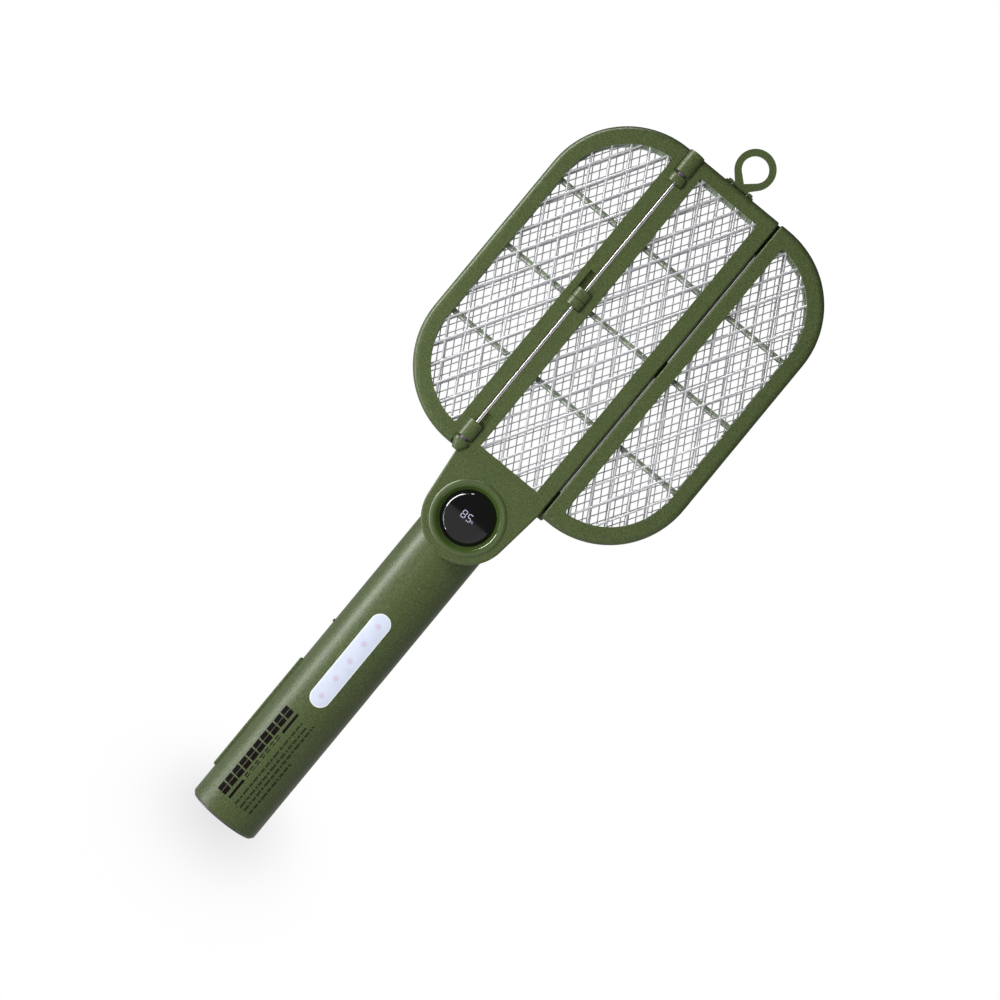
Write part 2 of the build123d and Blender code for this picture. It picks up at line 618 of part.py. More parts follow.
def write_trigger():
    bar = trigger_block(TRIGGER_X, -16.0, 0.0, 2.0)
    ends = bar.faces().sort_by(Axis.X)[0].edges()
    bar = fillet(ends, 0.8)
    flange = block(-16.6, -15.6, -5.4, 5.4, TRIGGER_Z[0] - 1.6, TRIGGER_Z[1] + 1.6)
    write("trigger_bar", bar + flange)
    write("switch_plunger", rod_x(0.8, -15.58, -12.9, -3.6, 52.0))
    springs = []
    for z in (30.0, 74.0):
        helix = Pos(-15.38, 0, z) * Rot(0, 90, 0) * Helix(pitch=0.93, height=2.96, radius=1.6)
        start = Plane(origin=helix @ 0, z_dir=helix % 0)
        springs.append(sweep(start * Circle(0.2), path=helix))
    write("trigger_springs", group(springs))
    stem = rod_x(0.9, -20.3, -14.6, 0, BUTTON_Z) + Pos(-20.3, 0, BUTTON_Z) * Sphere(0.9)
    stem &= block(-20.7, -10, -5, 5, BUTTON_Z - 5, BUTTON_Z + 5)
    button = stem + rod_x(2.2, -17.45, -16.7, 0, BUTTON_Z)
    write("side_button", button)
    tact = block(-15.6, -10.0, -2.6, BOARD_FRONT_Y, BUTTON_Z - 3, BUTTON_Z + 3)
    write("tact_switch", tact - rod_x(1.0, -16, -13.2, 0, BUTTON_Z))
    body = block(-13.9, -9.8, -6.8, -1.4, 46.0, 58.8)
    write("microswitch", body - rod_x(0.95, -15, -11.4, -3.6, 52.0))


def write_electronics():
    low, high = CELL_Z
    cell = rod_z(CELL_R, low, high - 1.2, 0, CELL_Y) + rod_z(3.0, high - 1.3, high, 0, CELL_Y)
    write("battery_cell", fillet(cell.edges().filter_by(GeomType.CIRCLE).sort_by(Axis.Z)[:1], 0.8))
    trough = rod_z(CELL_R + 1.2, low - 3.4, high + 2.4, 0, CELL_Y)
    trough -= rod_z(CELL_R + 0.3, low - 2.4, high + 1.4, 0, CELL_Y)
    trough &= block(-FAR, FAR, CELL_Y, FAR, 0, FAR)
    for x, z in POSTS[:2]:
        trough -= rod_y(3.6, 0, HANDLE_R, x, z)
    side = block(-12.2, -10.0, -6.5, 6.5, low + 6, high + 2.4)
    side -= block(-14.5, -9.0, -7.5, -1.0, 45.6, 59.2)
    write("battery_cradle", (trough + side).solids().sort_by(SortBy.VOLUME)[-1])
    coil = Pos(0, CELL_Y, low - 2.1) * Helix(pitch=0.62, height=1.75, radius=3.6)
    start = Plane(origin=coil @ 0, z_dir=coil % 0)
    write("battery_spring", sweep(start * Circle(0.25), path=coil))
    write("battery_contact", block(-4, 4, CELL_Y - 3.5, CELL_Y + 4, high + 0.05, high + 0.55))

    back = BOARD_FRONT_Y + BOARD_T
    write("main_board", block(-12.4, 12.6, BOARD_FRONT_Y, back, 84.0, 184.0))
    core = block(-7, 7, -9.4, BOARD_FRONT_Y, 141, 156) - block(-4.8, 4.8, -12, 5, 143.5, 153.5)
    core += block(-1.8, 1.8, -7.4, -0.4, 142, 155)
    write("transformer_core", core)
    winding = block(-4.6, 4.6, -9.0, 1.2, 144.2, 152.8)
    winding = fillet(winding.edges().filter_by(Axis.Z), 1.6) - block(-1.9, 1.9, -7.5, -0.3, 140, 160)
    write("transformer_winding", winding)
    cap = block(-6.5, 6.5, -5.4, BOARD_FRONT_Y, 160, 171)
    write("hv_capacitor", fillet(cap.edges().filter_by(Axis.Y), 1.0))
    diodes = [rod_z(0.9, 174.5, 179.5, x, BOARD_FRONT_Y - 0.92) for x in (-6, -2, 2, 6)]
    write("multiplier_diodes", group(diodes))
    write("control_chip", block(-3, 3, BOARD_FRONT_Y - 1.1, BOARD_FRONT_Y, 123, 128))
    usb = block(10.2, 19.3, -1.6, BOARD_FRONT_Y, USB_Z - 4.47, USB_Z + 4.47)
    usb = fillet(usb.edges().filter_by(Axis.X), 1.5)
    hollow = block(11.0, 25.0, -1.3, 1.3, USB_Z - 4.17, USB_Z + 4.17)
    usb -= fillet(hollow.edges().filter_by(Axis.X), 1.25)
    tongue = block(11.0, 17.9, -0.35, 0.35, USB_Z - 3.35, USB_Z + 3.35)
    write("usb_socket", group([usb, tongue]))


# ---- the hanging ring ---------------------------------------------------------------------
def ring_sketch():
    """A ring drawn out to a flat foot, with a hole that narrows to a point below."""

    def tangent(centre_z, radius, px, pz):
        """Where a line from (px, pz) touches the lower right of a circle."""
        rise = centre_z - pz
        reach = math.hypot(px, rise)
        turn = math.acos(radius / reach)
        angle = math.atan2(pz - centre_z, px) + turn
        return radius * math.cos(angle), centre_z + radius * math.sin(angle)

    ox, oz = tangent(RING_Z, RING_R, RING_FOOT_HALF_W, RING_FOOT_TOP_Z)
    ix, iz = tangent(RING_Z, RING_HOLE_R, 0.0, RING_HOLE_TIP_Z)
    outer = Pos(0, RING_Z) * Circle(RING_R) + make_face(Polyline(
        (-RING_FOOT_HALF_W, RING_AXIS_Z), (RING_FOOT_HALF_W, RING_AXIS_Z),
        (RING_FOOT_HALF_W, RING_FOOT_TOP_Z), (ox, oz), (-ox, oz),
        (-RING_FOOT_HALF_W, RING_FOOT_TOP_Z), close=True))
    hole = Pos(0, RING_Z) * Circle(RING_HOLE_R) + make_face(Polyline(
        (0, RING_HOLE_TIP_Z), (ix, iz), (-ix, iz), close=True))
    return outer - hole


def write_ring():
    ring = plate(ring_sketch(), HEAD_MID_Y - RING_T / 2, HEAD_MID_Y + RING_T / 2)
    ring += rod_x(RING_T / 2, -RING_FOOT_HALF_W, RING_FOOT_HALF_W, HEAD_MID_Y, RING_AXIS_Z)
    ring -= rod_x(0.65, -10, 10, HEAD_MID_Y, RING_AXIS_Z)
    write("hanging_ring", ring.solids()[0])
    write("ring_pin", rod_x(0.6, -6.9, 6.9, HEAD_MID_Y, RING_AXIS_Z))


os.makedirs("parts", exist_ok=True)
write_handle()
write_trigger()
write_electronics()
write_pivot()
write_display()
write_head()
write_ring()
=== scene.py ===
"""Looks of a foldable electric fly swatter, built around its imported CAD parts.

The scene is in metres, in the part's own frame: the handle stands along Z on its foot, the front looks
toward -Y, and the head with its three mesh panels is at the top. Sizes and places on the object are named
in millimetres and scaled by MM; those of the floor and the lamps are in metres.
"""
import json
import math

import bmesh
import bpy
from mathutils import Matrix, Vector


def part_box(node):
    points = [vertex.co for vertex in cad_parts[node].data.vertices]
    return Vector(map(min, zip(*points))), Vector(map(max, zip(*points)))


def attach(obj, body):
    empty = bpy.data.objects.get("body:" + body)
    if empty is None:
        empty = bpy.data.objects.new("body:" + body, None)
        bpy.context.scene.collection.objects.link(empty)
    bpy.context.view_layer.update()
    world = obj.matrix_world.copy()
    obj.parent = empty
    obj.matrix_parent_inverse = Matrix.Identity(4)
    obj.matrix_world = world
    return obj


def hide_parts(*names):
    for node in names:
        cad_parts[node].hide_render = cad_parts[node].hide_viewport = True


MM = 0.001
HANDLE_R = 20.0
PIVOT_Z = 201.8                 # height of the axis through the display

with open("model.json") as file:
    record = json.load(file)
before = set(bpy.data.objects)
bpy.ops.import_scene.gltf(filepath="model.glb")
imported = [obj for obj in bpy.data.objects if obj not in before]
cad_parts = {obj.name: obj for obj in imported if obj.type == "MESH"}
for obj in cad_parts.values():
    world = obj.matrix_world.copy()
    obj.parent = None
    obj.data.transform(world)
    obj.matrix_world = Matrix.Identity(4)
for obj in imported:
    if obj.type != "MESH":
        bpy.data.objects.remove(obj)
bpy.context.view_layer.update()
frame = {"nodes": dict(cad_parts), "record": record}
nodes = frame["nodes"]


# ---- camera --------------------------------------------------------------------------------
ROLL = math.radians(39.55)
CAMERA_AT = Vector((3.0, -1250.0, 201.8)) * MM
CAMERA_TO = Vector((6.8, 0.0, 219.9)) * MM      # the point that it looks at
LENS_MM = 85.7
SENSOR_MM = 36.0


def add_camera():
    """Looks at the front, rolled so that the handle runs up to the right."""
    camera = bpy.data.objects.new("camera", bpy.data.cameras.new("camera"))
    bpy.context.scene.collection.objects.link(camera)
    camera.data.lens = LENS_MM
    camera.data.sensor_width = SENSOR_MM
    camera.data.clip_start = 0.01
    camera.data.clip_end = 100.0
    forward = (CAMERA_TO - CAMERA_AT).normalized()
    level_right = forward.cross(Vector((0, 0, 1))).normalized()
    level_up = level_right.cross(forward)
    right = level_right * math.cos(ROLL) + level_up * math.sin(ROLL)
    up = level_up * math.cos(ROLL) - level_right * math.sin(ROLL)
    turn = Matrix((right, up, -forward)).transposed().to_4x4()
    camera.matrix_world = Matrix.Translation(CAMERA_AT) @ turn
    bpy.context.scene.camera = camera


# ---- node helpers ----------------------------------------------------------------------------
def new_material(name):
    """An empty node material with one principled shader."""
    material = bpy.data.materials.new(name)
    material.use_nodes = True
    tree = material.node_tree
    tree.nodes.clear()
    output = tree.nodes.new("ShaderNodeOutputMaterial")
    shader = tree.nodes.new("ShaderNodeBsdfPrincipled")
    tree.links.new(shader.outputs["BSDF"], output.inputs["Surface"])
    return material, tree, shader


def noise(tree, scale, detail=3.0, roughness=0.5, stretch=(1.0, 1.0, 1.0)):
    """Noise fixed to the part; scale is in features per metre."""
    coords = tree.nodes.new("ShaderNodeTexCoord")
    mapping = tree.nodes.new("ShaderNodeMapping")
    mapping.inputs["Scale"].default_value = stretch
    texture = tree.nodes.new("ShaderNodeTexNoise")
    texture.inputs["Scale"].default_value = scale
    texture.inputs["Detail"].default_value = detail
    texture.inputs["Roughness"].default_value = roughness
    tree.links.new(coords.outputs["Object"], mapping.inputs["Vector"])
    tree.links.new(mapping.outputs["Vector"], texture.inputs["Vector"])
    return texture.outputs["Fac"]


def ramp(tree, value, stops):
    """A colour ramp with (position, colour) stops."""
    node = tree.nodes.new("ShaderNodeValToRGB")
    elements = node.color_ramp.elements
    while len(elements) < len(stops):
        elements.new(0.5)
    for element, (position, color) in zip(elements, stops):
        element.position = position
        element.color = (*color, 1.0)
    tree.links.new(value, node.inputs["Fac"])
    return node.outputs["Color"]


def two_tone(tree, value, dark, light):
    """From dark to light over the middle of a noise's range."""
    return ramp(tree, value, [(0.3, dark), (0.7, light)])


def scaled(color, factor):
    """A darker or lighter colour."""
    return tuple(factor * channel for channel in color)


def remap(tree, value, low, high, from_low=0.3, from_high=0.7):
    """Value from one range to another, clamped."""
    node = tree.nodes.new("ShaderNodeMapRange")
    node.inputs["From Min"].default_value = from_low
    node.inputs["From Max"].default_value = from_high
    node.inputs["To Min"].default_value = low
    node.inputs["To Max"].default_value = high
    tree.links.new(value, node.inputs["Value"])
    return node.outputs["Result"]


def bump(tree, height, distance, strength):
    """Surface relief; distance is in metres."""
    node = tree.nodes.new("ShaderNodeBump")
    node.inputs["Strength"].default_value = strength
    node.inputs["Distance"].default_value = distance
    tree.links.new(height, node.inputs["Height"])
    return node.outputs["Normal"]


def mix_color(tree, share, first, second):
    """A mix of two colours; each argument may be a socket or a value."""
    node = tree.nodes.new("ShaderNodeMix")
    node.data_type = "RGBA"
    for socket, value in ((node.inputs[0], share), (node.inputs[6], first), (node.inputs[7], second)):
        if isinstance(value, bpy.types.NodeSocket):
            tree.links.new(value, socket)
        elif isinstance(value, tuple):
            socket.default_value = (*value, 1.0)
        else:
            socket.default_value = value
    return node.outputs[2]


def compute(tree, operation, *values):
    """One math node; each value may be a socket or a number."""
    node = tree.nodes.new("ShaderNodeMath")
    node.operation = operation
    for socket, value in zip(node.inputs, values):
        if isinstance(value, bpy.types.NodeSocket):
            tree.links.new(value, socket)
        else:
            socket.default_value = value
    return node.outputs[0]


def axis_value(tree, axis):
    """Position along one axis of the part's frame, in millimetres."""
    coords = tree.nodes.new("ShaderNodeTexCoord")
    split = tree.nodes.new("ShaderNodeSeparateXYZ")
    tree.links.new(coords.outputs["Object"], split.inputs["Vector"])
    return compute(tree, "MULTIPLY", split.outputs[axis], 1.0 / MM)


def length(tree, first, second):
    """Length of a vector with these two sides."""
    squares = [compute(tree, "MULTIPLY", value, value) for value in (first, second)]
    return compute(tree, "SQRT", compute(tree, "ADD", *squares))


# ---- materials -------------------------------------------------------------------------------
OLIVE_DARK = (0.075, 0.1025, 0.0355)
OLIVE_LIGHT = (0.089, 0.119, 0.043)
SPECK_SHARE = 0.6               # how much of the colour is grain, the rest is slow cloud


def olive_plastic():
    """Spark-textured olive moulding with a soft sheen."""
    material, tree, shader = new_material("olive_moulded_plastic")
    grain = noise(tree, 1400.0, detail=2.0, roughness=0.6)
    base = two_tone(tree, noise(tree, 60.0, detail=4.0), OLIVE_DARK, OLIVE_LIGHT)
    speck = ramp(tree, grain, [(0.35, scaled(OLIVE_DARK, 0.52)), (0.65, scaled(OLIVE_LIGHT, 1.5))])
    tree.links.new(mix_color(tree, SPECK_SHARE, base, speck), shader.inputs["Base Color"])
    tree.links.new(remap(tree, grain, 0.3, 0.4), shader.inputs["Roughness"])
    tree.links.new(bump(tree, grain, 0.00006, 0.5), shader.inputs["Normal"])
    shader.inputs["IOR"].default_value = 1.52
    shader.inputs["Specular IOR Level"].default_value = 0.3
    return material


def steel(name, dark, light, roughness, metallic, relief=0.00003):
    """Drawn steel with fine streaks along the part."""
    material, tree, shader = new_material(name)
    streaks = noise(tree, 900.0, stretch=(1.0, 1.0, 0.12))
    tree.links.new(two_tone(tree, streaks, dark, light), shader.inputs["Base Color"])
    tree.links.new(remap(tree, streaks, roughness - 0.06, roughness + 0.08), shader.inputs["Roughness"])
    tree.links.new(bump(tree, streaks, relief, 0.3), shader.inputs["Normal"])
    shader.inputs["Metallic"].default_value = metallic
    return material


def plastic(name, dark, light, roughness, specular=0.5):
    """Moulded plastic with a slow cloud in its colour and a fine grain in its finish."""
    material, tree, shader = new_material(name)
    grain = noise(tree, 1800.0)
    tree.links.new(two_tone(tree, noise(tree, 90.0), dark, light), shader.inputs["Base Color"])
    low = max(0.0, roughness - 0.05)
    tree.links.new(remap(tree, grain, low, roughness + 0.07), shader.inputs["Roughness"])
    tree.links.new(bump(tree, grain, 0.00002, 0.3), shader.inputs["Normal"])
    shader.inputs["Specular IOR Level"].default_value = specular
    return material


RIM_START_R = 17.2              # the polished slope of the bezel ends here
RIM_FULL_R = 17.9               # the satin rim starts here


def bezel_plastic():
    """Olive plastic, satin on the raised rim and polished on the inner slope, which has painted shade."""
    material, tree, shader = new_material("bezel_two_finish_shaded_slope")
    from_axis = compute(tree, "SUBTRACT", axis_value(tree, "Z"), PIVOT_Z)
    radius = length(tree, axis_value(tree, "X"), from_axis)
    rim = remap(tree, radius, 0.0, 1.0, RIM_START_R, RIM_FULL_R)
    grain = noise(tree, 1500.0, detail=2.0)
    gloss = remap(tree, grain, 0.05, 0.08)
    satin = remap(tree, grain, 0.36, 0.46)
    finish = compute(tree, "MULTIPLY_ADD", rim, compute(tree, "SUBTRACT", satin, gloss), gloss)
    tree.links.new(finish, shader.inputs["Roughness"])
    # Painted shade: the inner slope of the dish is a darker, more saturated green than the rim
    slope = two_tone(tree, noise(tree, 90.0), (0.055, 0.095, 0.018), (0.065, 0.108, 0.022))
    crest = two_tone(tree, grain, (0.066, 0.094, 0.03), (0.092, 0.125, 0.042))
    tree.links.new(mix_color(tree, rim, slope, crest), shader.inputs["Base Color"])
    shader.inputs["IOR"].default_value = 1.6
    return material


def smoked_lens():
    """Polished black glass with a faint smear of unevenness in its tint."""
    material, tree, shader = new_material("lens_smoked")
    tint = two_tone(tree, noise(tree, 120.0), (0.0035, 0.0035, 0.004), (0.0045, 0.0045, 0.005))
    tree.links.new(tint, shader.inputs["Base Color"])
    shader.inputs["Roughness"].default_value = 0.015
    shader.inputs["IOR"].default_value = 1.65
    return material


LOWEST_LED_Z = 83.1
LED_PITCH = 11.475
DIFFUSER_MIDDLE_Z = 106.4
DIFFUSER_STRAIGHT = 24.15       # half the length of its straight sides
SPOT_R = (1.0, 2.0)             # a lamp's spot is full inside the first radius and gone at the second
PALE_RIM_R = (4.8, 5.4)         # the pale rim starts and is full at these distances from the middle line
SPOT_STRENGTH = 0.75


def milky_diffuser():
    """Milky window: five lamps show through as faint mauve spots, and its rim is paler."""
    material, tree, shader = new_material("diffuser_milky")
    x = axis_value(tree, "X")
    z = axis_value(tree, "Z")
    from_lowest = compute(tree, "SUBTRACT", z, LOWEST_LED_Z)
    nearest = compute(tree, "WRAP", from_lowest, LED_PITCH / 2, -LED_PITCH / 2)
    spot = remap(tree, length(tree, x, nearest), 1.0, 0.0, *SPOT_R)
    past_middle = compute(tree, "ABSOLUTE", compute(tree, "SUBTRACT", z, DIFFUSER_MIDDLE_Z))
    past_side = compute(tree, "MAXIMUM", compute(tree, "SUBTRACT", past_middle, DIFFUSER_STRAIGHT), 0.0)
    rim = remap(tree, length(tree, x, past_side), 0.0, 1.0, *PALE_RIM_R)
    cloud = two_tone(tree, noise(tree, 160.0), (0.66, 0.71, 0.86), (0.71, 0.76, 0.9))
    color = mix_color(tree, compute(tree, "MULTIPLY", spot, SPOT_STRENGTH), cloud, (0.64, 0.52, 0.72))
    color = mix_color(tree, rim, color, (0.88, 0.92, 0.94))
    tree.links.new(color, shader.inputs["Base Color"])
    tree.links.new(color, shader.inputs["Emission Color"])
    shader.inputs["Emission Strength"].default_value = 0.13
    shader.inputs["Roughness"].default_value = 0.35
    return material


def glowing(name, color, strength):
    """Lit marks behind dark glass, a little uneven."""
    material, tree, shader = new_material(name)
    uneven = two_tone(tree, noise(tree, 1500.0), scaled(color, 0.85), color)
    tree.links.new(uneven, shader.inputs["Base Color"])
    tree.links.new(uneven, shader.inputs["Emission Color"])
    shader.inputs["Emission Strength"].default_value = strength
    shader.inputs["Roughness"].default_value = 0.2
    return material


def add_materials():
    """Gives every CAD node the material of its slot, and returns the materials by slot."""
    olive = olive_plastic()
    spacer = plastic("spacer_plastic", (0.23, 0.29, 0.18), (0.28, 0.35, 0.22), 0.15)
    outer_steel = steel("outer_grille_steel", (0.7, 0.7, 0.73), (0.84, 0.84, 0.87), 0.38, metallic=0.5)
    live_steel = steel("live_grille_steel", (0.5, 0.5, 0.53), (0.63, 0.63, 0.66), 0.38, metallic=0.6)
    purple = plastic("purple_plastic", (0.13, 0.08, 0.15), (0.17, 0.11, 0.19), 0.4)
    pins = steel("pin_steel", (0.62, 0.56, 0.6), (0.7, 0.64, 0.68), 0.3, metallic=0.8, relief=0.000006)
    bezel = bezel_plastic()
    lens = smoked_lens()
    diffuser = milky_diffuser()
    board = plastic("board_green", (0.02, 0.09, 0.04), (0.03, 0.12, 0.05), 0.4)
    led = plastic("led_phosphor", (0.8, 0.7, 0.2), (0.9, 0.8, 0.3), 0.3)
    wrap = plastic("cell_wrap", (0.03, 0.1, 0.3), (0.04, 0.13, 0.36), 0.3)
    inner = plastic("inner_black", (0.015, 0.015, 0.015), (0.025, 0.025, 0.025), 0.5)
    tape = plastic("winding_tape", (0.6, 0.4, 0.05), (0.7, 0.5, 0.08), 0.4)
    film = plastic("film_capacitor", (0.3, 0.05, 0.02), (0.35, 0.07, 0.03), 0.3)
    by_slot = {
        "olive_plastic": olive, "spacer_plastic": spacer, "outer_grille_steel": outer_steel,
        "live_grille_steel": live_steel, "purple_plastic": purple, "steel_pins": pins,
        "bezel_plastic": bezel, "lens_plastic": lens, "diffuser_plastic": diffuser,
        "circuit_board": board, "led_chip": led, "cell_wrap": wrap, "inner_plastic": inner,
        "black_component": inner, "ferrite": inner, "winding_tape": tape, "film_capacitor": film,
        "contact_metal": pins,
    }
    for part in frame["record"]["subparts"]:
        data = nodes[part["node"]].data
        data.materials.clear()
        data.materials.append(by_slot[part["material_slot"]])
    return by_slot


# ---- pieces ------------------------------------------------------------------------------------
PANEL_WINDOW = (-18.5, 18.5, 234.2, 409.8)     # left, right, bottom, top
WING_WINDOW = (36.0, 73.2, 235.2, 408.9)       # inner, outer, bottom, top
WING_CORNER_R = 39.9
SEAT = 2.96                 # how far a grille reaches under the frame
BORDER = 1.6                # how far the openings of a grille reach under the frame
# Weaves of the outer and the live grilles: cell width, cell height, strand width, height of a crossing
COARSE = (11.1, 19.22, 1.1, 360.6)
FINE = (4.52, 7.32, 0.6, 399.5)
ARC_STEPS = 24                  # along each round corner of a wing's window
FAR = 1e6
PARALLEL = 1e-9
STRAND_DEPTH = 0.78             # a strand's share of its layer's thickness
CRISP_ANGLE = math.radians(50)


def add_piece(name, vertices, faces, body, material, smooth=True):
    """A new piece from vertices in millimetres, riding on a body."""
    mesh = bpy.data.meshes.new(name)
    mesh.from_pydata([Vector(v) * MM for v in vertices], [], faces)
    mesh.validate()
    shape = bmesh.new()
    shape.from_mesh(mesh)
    bmesh.ops.recalc_face_normals(shape, faces=shape.faces)
    shape.to_mesh(mesh)
    shape.free()
    for face in mesh.polygons:
        face.use_smooth = smooth
    mesh.materials.append(material)
    piece = bpy.data.objects.new(name, mesh)
    bpy.context.scene.collection.objects.link(piece)
    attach(piece, body)
    return piece


def merge(parts):
    """Joins (vertices, faces) pairs into one."""
    vertices = []
    faces = []
    for part_vertices, part_faces in parts:
        first = len(vertices)
        vertices += part_vertices
        faces += [[first + i for i in face] for face in part_faces]
    return vertices, faces


def wing_outline(grow):
    """The wing window's outline, grown, for the wing on the +X side."""
    inner, outer, low, high = WING_WINDOW
    inner -= grow
    radius = WING_CORNER_R + grow
    centre_x = outer - WING_CORNER_R
    sweep = math.acos(max(0.0, (inner - centre_x) / radius))
    angles = [sweep * step / ARC_STEPS for step in range(ARC_STEPS + 1)]
    arc = [(centre_x + radius * math.cos(angle), radius * math.sin(angle)) for angle in angles]
    lower = [(x, low + WING_CORNER_R - rise) for x, rise in reversed(arc)]
    upper = [(x, high - WING_CORNER_R + rise) for x, rise in arc]
    return [(inner, lower[0][1])] + lower + upper + [(inner, upper[-1][1])]


def panel_outline(grow):
    """The centre panel's window, grown."""
    left, right, low, high = PANEL_WINDOW
    return [(left - grow, low - grow), (right + grow, low - grow),
            (right + grow, high + grow), (left - grow, high + grow)]


def mirrored(outline):
    """The same outline on the other side of the middle plane."""
    return [(-x, z) for x, z in reversed(outline)]


def segment_inside(outline, point, slope):
    """The stretch of the line through point with direction slope that lies inside a convex outline."""
    low = -FAR
    high = FAR
    for (ax, az), (bx, bz) in zip(outline, outline[1:] + outline[:1]):
        normal = (az - bz, bx - ax)
        rate = normal[0] * slope[0] + normal[1] * slope[1]
        gap = normal[0] * (point[0] - ax) + normal[1] * (point[1] - az)
        if abs(rate) < PARALLEL:
            continue
        if rate > 0:
            low = max(low, -gap / rate)
        else:
            high = min(high, -gap / rate)
    return low, high


# Around a strand: (across, towards the front), as shares of its half width and half thickness
STRAND_PROFILE = [(1.0, 0.1), (0.72, 0.8), (0.3, 1.0), (-0.3, 1.0), (-0.72, 0.8), (-1.0, 0.1),
                  (-0.9, -0.7), (-0.4, -1.0), (0.4, -1.0), (0.9, -0.7)]


def strand(start, end, y, half_w, half_t):
    """A rolled strand between two points: rounded in front, flatter at the back."""
    along = Vector((end[0] - start[0], 0, end[1] - start[1])).normalized()
    across = Vector((0, 1, 0)).cross(along)
    vertices = []
    for x, z in (start, end):
        for side, depth in STRAND_PROFILE:
            vertices.append(tuple(Vector((x, y - depth * half_t, z)) + across * side * half_w))
    count = len(STRAND_PROFILE)
    faces = [[i, (i + 1) % count, count + (i + 1) % count, count + i] for i in range(count)]
    faces += [list(range(count))[::-1], list(range(count, 2 * count))]
    return vertices, faces


def border_band(outer, inner, y_front, y_back):
    """A flat band between two outlines with the same number of points."""
    count = len(outer)
    vertices = []
    for y in (y_front, y_back):
        for outline in (outer, inner):
            vertices += [(x, y, z) for x, z in outline]
    faces = []
    for i in range(count):
        j = (i + 1) % count
        faces.append([i, j, count + j, count + i])
        faces.append([2 * count + i, 3 * count + i, 3 * count + j, 2 * count + j])
        faces.append([i, 2 * count + i, 2 * count + j, j])
        faces.append([count + i, count + j, 3 * count + j, 3 * count + i])
    return vertices, faces


def add_grille(node, body, weave, outline_of, material):
    """Two crossing sets of strands, one laid over the other, in a flat border."""
    cell_w, cell_h, width, level = weave
    low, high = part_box(node)
    y_front = low.y / MM
    y_back = high.y / MM
    middle = (y_front + y_back) / 2
    half_t = (y_back - y_front) / 2 * STRAND_DEPTH
    shift = (y_back - y_front) / 2 - half_t
    border = outline_of(BORDER)
    xs = [x for x, z in border]
    reach = (max(z for x, z in border) - min(z for x, z in border)) * cell_w / cell_h
    diagonal = math.hypot(cell_w, cell_h)
    parts = [border_band(outline_of(SEAT), border, y_front, y_back)]
    for lean, y in ((1, middle - shift), (-1, middle + shift)):
        slope = (lean * cell_w / diagonal, cell_h / diagonal)
        first = math.floor((min(xs) - 2 * reach) / cell_w)
        last = math.ceil((max(xs) + 2 * reach) / cell_w)
        for column in range(first, last + 1):
            point = (column * cell_w, level)
            start, end = segment_inside(border, point, slope)
            if end - start > width:
                ends = [(point[0] + slope[0] * t, point[1] + slope[1] * t) for t in (start, end)]
                parts.append(strand(*ends, y, width / 2, half_t))
    vertices, faces = merge(parts)
    piece = add_piece(node + "_strands", vertices, faces, body, material)
    edges = piece.modifiers.new("crisp", "EDGE_SPLIT")
    edges.split_angle = CRISP_ANGLE
    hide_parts(node)


def add_grilles(by_slot):
    """Three layers in each of the three panels."""
    panels = (("head", panel_outline),
              ("left_wing", lambda grow: mirrored(wing_outline(grow))),
              ("right_wing", wing_outline))
    layers = (("front_grille", COARSE, "outer_grille_steel"), ("live_grille", FINE, "live_grille_steel"),
              ("rear_grille", COARSE, "outer_grille_steel"))
    for body, outline_of in panels:
        for layer, weave, slot in layers:
            add_grille(f"{body}_{layer}", body, weave, outline_of, by_slot[slot])


RIB_Z = (279.2, 322.35, 365.5)
BEAD_HALF_W = 0.6
BEAD_HALF_T = 0.5
BEAD_DROP = 0.85                # below the middle of its cross bar
BEAD_DEPTH = 0.55               # behind the front of its cross bar
BEAD_TUCK = 0.3                 # how far a bead's ends reach into the spacer's sides


def add_rib_highlight_beads(material):
    """Pale beads along the lower front edge of the rear spacers' cross bars: painted highlight on that
    edge.
    """
    for body in ("head", "left_wing", "right_wing"):
        low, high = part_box(f"{body}_rear_spacer")
        left = low.x / MM + SEAT - BEAD_TUCK
        right = high.x / MM - SEAT + BEAD_TUCK
        y = low.y / MM + BEAD_DEPTH
        levels = [z - BEAD_DROP for z in RIB_Z]
        beads = [strand((left, z), (right, z), y, BEAD_HALF_W, BEAD_HALF_T) for z in levels]
        vertices, faces = merge(beads)
        add_piece(f"{body}_rib_painted_highlight", vertices, faces, body, material)


# Seven segments of a digit, as places in a cell of one by two: (middle across, middle up, lies flat)
SEGMENTS = {"top": (0.5, 2.0, True), "upper_left": (0.0, 1.5, False), "upper_right": (1.0, 1.5, False),
            "middle": (0.5, 1.0, True), "lower_left": (0.0, 0.5, False), "lower_right": (1.0, 0.5, False),
            "bottom": (0.5, 0.0, True)}
EIGHT = tuple(SEGMENTS)
FIVE = ("top", "upper_left", "middle", "lower_right", "bottom")
DIGITS = ((-4.1, EIGHT), (-0.65, FIVE))        # left edge of each, and the segments that are lit
DIGIT_W = 2.2
DIGIT_H = 3.85
DIGIT_LOW_Z = 200.35
SEGMENT_HALF_W = 0.21
FLAT_GAP = 0.12                 # a segment's end stops short of the corner by this much
TALL_GAP = 0.1
DOT_R = 0.2
DOT_SIDES = 12
PROUD = 0.01                    # the lit marks stand this far in front of the lens
PERCENT_DOTS = ((2.6, 201.75), (3.35, 201.0))
PERCENT_BAR = ((2.6, 200.65), (2.78, 200.65), (3.3, 202.1), (3.12, 202.1))


def segment_plate(x, z, half_l, half_w, y, flat):
    """A six-sided bar with pointed ends, as in a digit."""
    shape = [(-half_l, 0), (-half_l + half_w, half_w), (half_l - half_w, half_w), (half_l, 0),
             (half_l - half_w, -half_w), (-half_l + half_w, -half_w)]
    if not flat:
        shape = [(b, a) for a, b in shape]
    return [(x + a, y, z + b) for a, b in shape], [list(range(6))]


